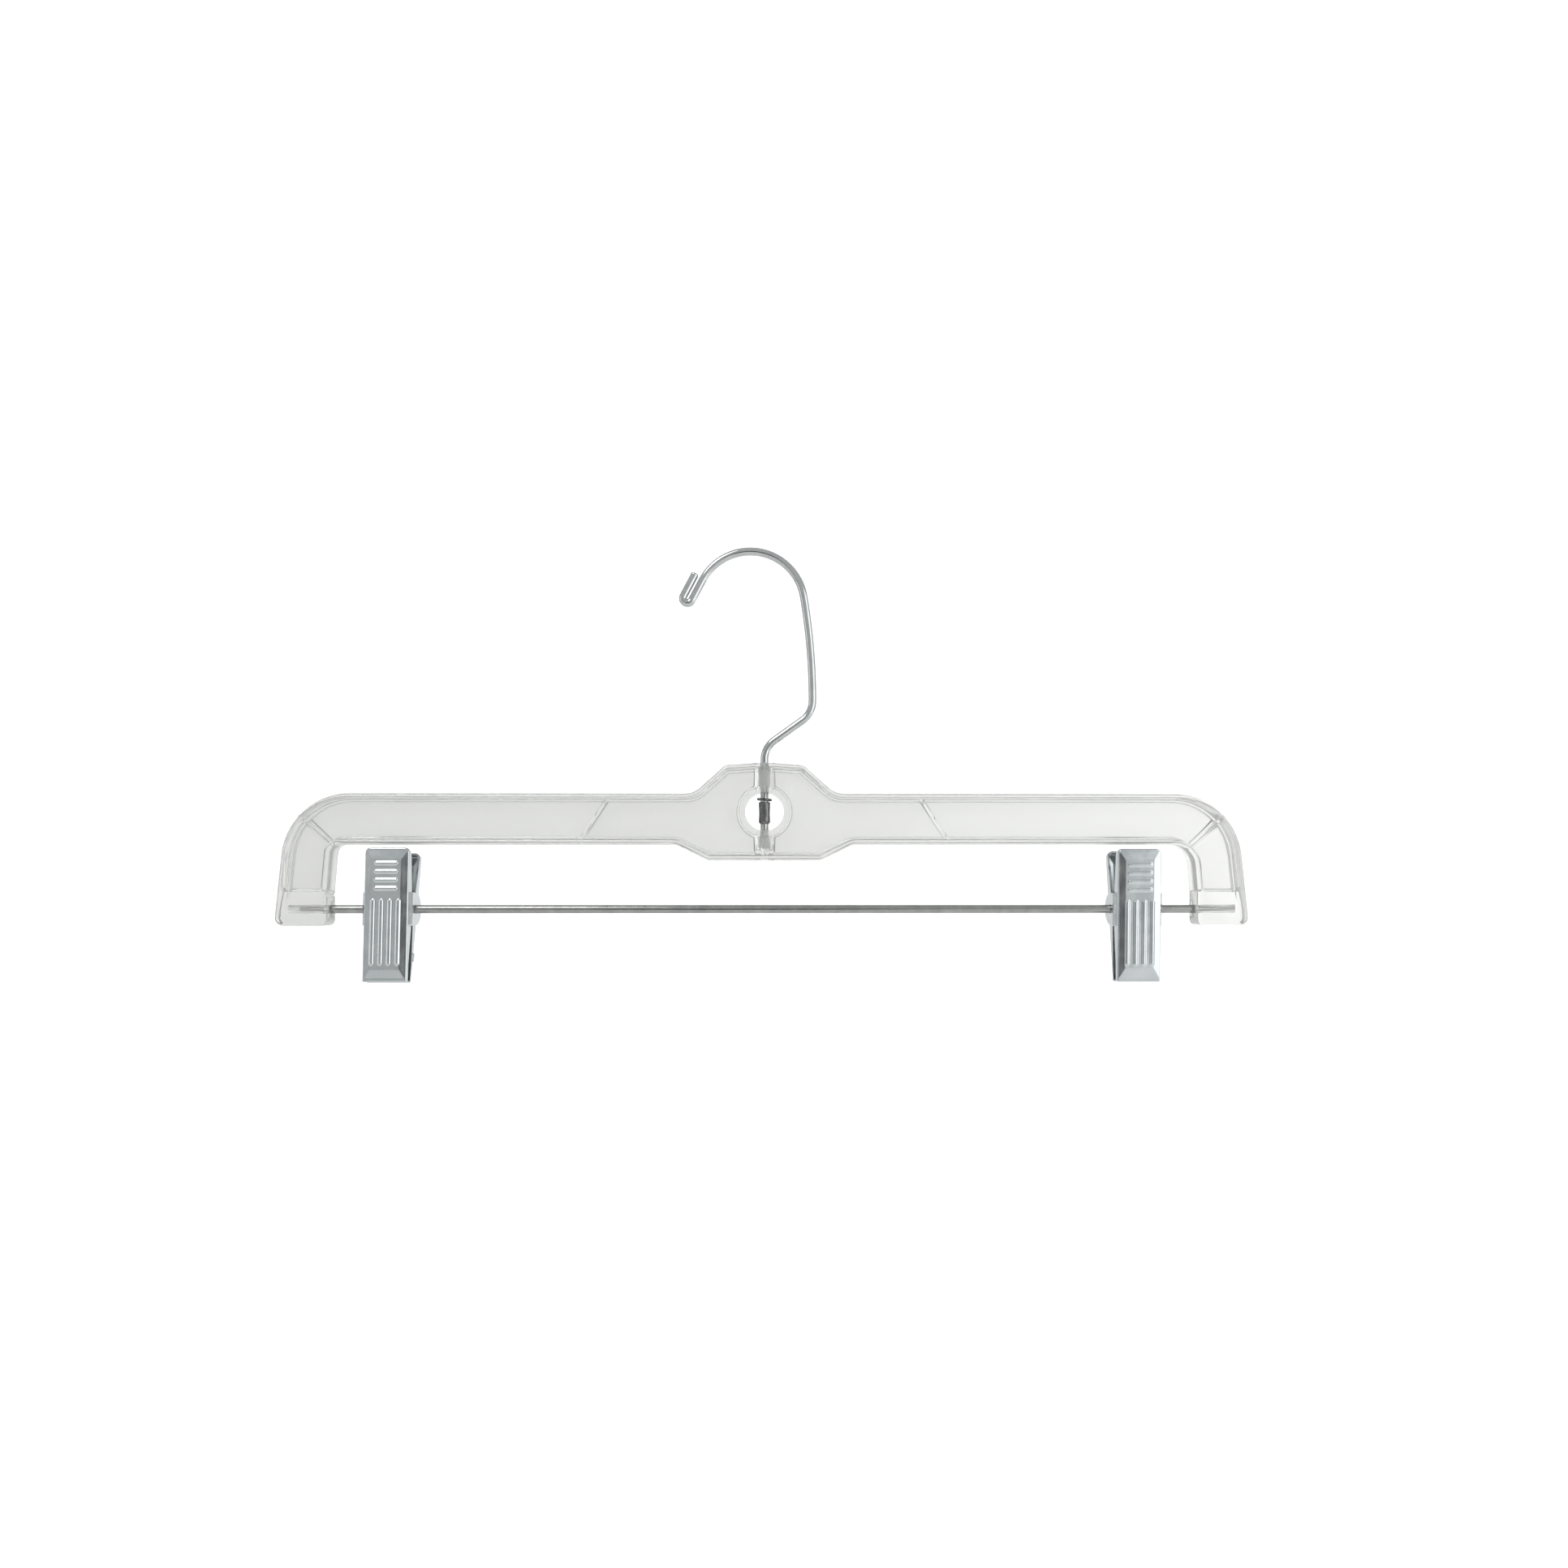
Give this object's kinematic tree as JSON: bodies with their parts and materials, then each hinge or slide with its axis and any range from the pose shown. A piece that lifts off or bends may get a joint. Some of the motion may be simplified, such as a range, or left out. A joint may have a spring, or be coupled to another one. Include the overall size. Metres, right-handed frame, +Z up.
{
  "type": "clip hanger",
  "caption": "Clear trouser and skirt hanger with a swivel wire hook and sprung metal clips that slide on a steel bar.",
  "frame": {"origin": "on the swivel axis, where a rail touches the inside of the hook's crown", "axes": "+X along the hanger towards the hook's shank side, -Y to the front, +Z up"},
  "size_m": [0.3556, 0.0187, 0.1602],
  "materials": {
    "clear_plastic": "clear moulded plastic, polished",
    "plated_wire": "bright plated wire with fine draw lines",
    "dark_ferrule": "dark oxide sleeve, satin",
    "plated_washer": "darkened steel washer",
    "bar_steel": "bright drawn steel rod",
    "clip_zinc": "bluish zinc plate on pressed sheet",
    "spring_steel": "drawn spring wire"
  },
  "bodies": {
    "hook": {"swivel_hook": "plated_wire", "hook_ferrule": "dark_ferrule"},
    "washer": {"swivel_washer": "plated_washer"},
    "hanger": {"hanger_body": "clear_plastic", "clip_bar": "bar_steel"},
    "left_coil": {"left_spring": "spring_steel"},
    "left_back": {"left_back_jaw": "clip_zinc"},
    "left_front": {"left_front_jaw": "clip_zinc"},
    "right_coil": {"right_spring": "spring_steel"},
    "right_back": {"right_back_jaw": "clip_zinc"},
    "right_front": {"right_front_jaw": "clip_zinc"}
  },
  "joints": [
    {"name": "hook_swivel", "type": "hinge", "parent": "hook", "child": "washer", "pos_m": [0, 0, 0], "axis": [0, 0, 1], "continuous": true},
    {"name": "body_float", "type": "slide", "parent": "washer", "child": "hanger", "axis": [0, 0, -1], "range_m": [0, 0.0012]},
    {"name": "left_clip_slide", "type": "slide", "parent": "hanger", "child": "left_coil", "axis": [1, 0, 0], "range_m": [-0.006, 0.094]},
    {"name": "left_clip_swing", "type": "hinge", "parent": "left_coil", "child": "left_back", "pos_m": [-0.137, 0, -0.12952], "axis": [1, 0, 0], "range_deg": [-110, 150], "deforming": ["left_spring"]},
    {"name": "left_clip_open", "type": "hinge", "parent": "left_back", "child": "left_front", "pos_m": [-0.137, 0, -0.12952], "axis": [-1, 0, 0], "range_deg": [0, 25], "stiffness_Nm_per_rad": 0.25, "springref_deg": -45.84, "deforming": ["left_spring"]},
    {"name": "right_clip_slide", "type": "slide", "parent": "hanger", "child": "right_coil", "axis": [-1, 0, 0], "range_m": [-0.006, 0.094]},
    {"name": "right_clip_swing", "type": "hinge", "parent": "right_coil", "child": "right_back", "pos_m": [0.137, 0, -0.12952], "axis": [1, 0, 0], "range_deg": [-110, 150], "deforming": ["right_spring"]},
    {"name": "right_clip_open", "type": "hinge", "parent": "right_back", "child": "right_front", "pos_m": [0.137, 0, -0.12952], "axis": [-1, 0, 0], "range_deg": [0, 25], "stiffness_Nm_per_rad": 0.25, "springref_deg": -45.84, "deforming": ["right_spring"]}
  ]
}
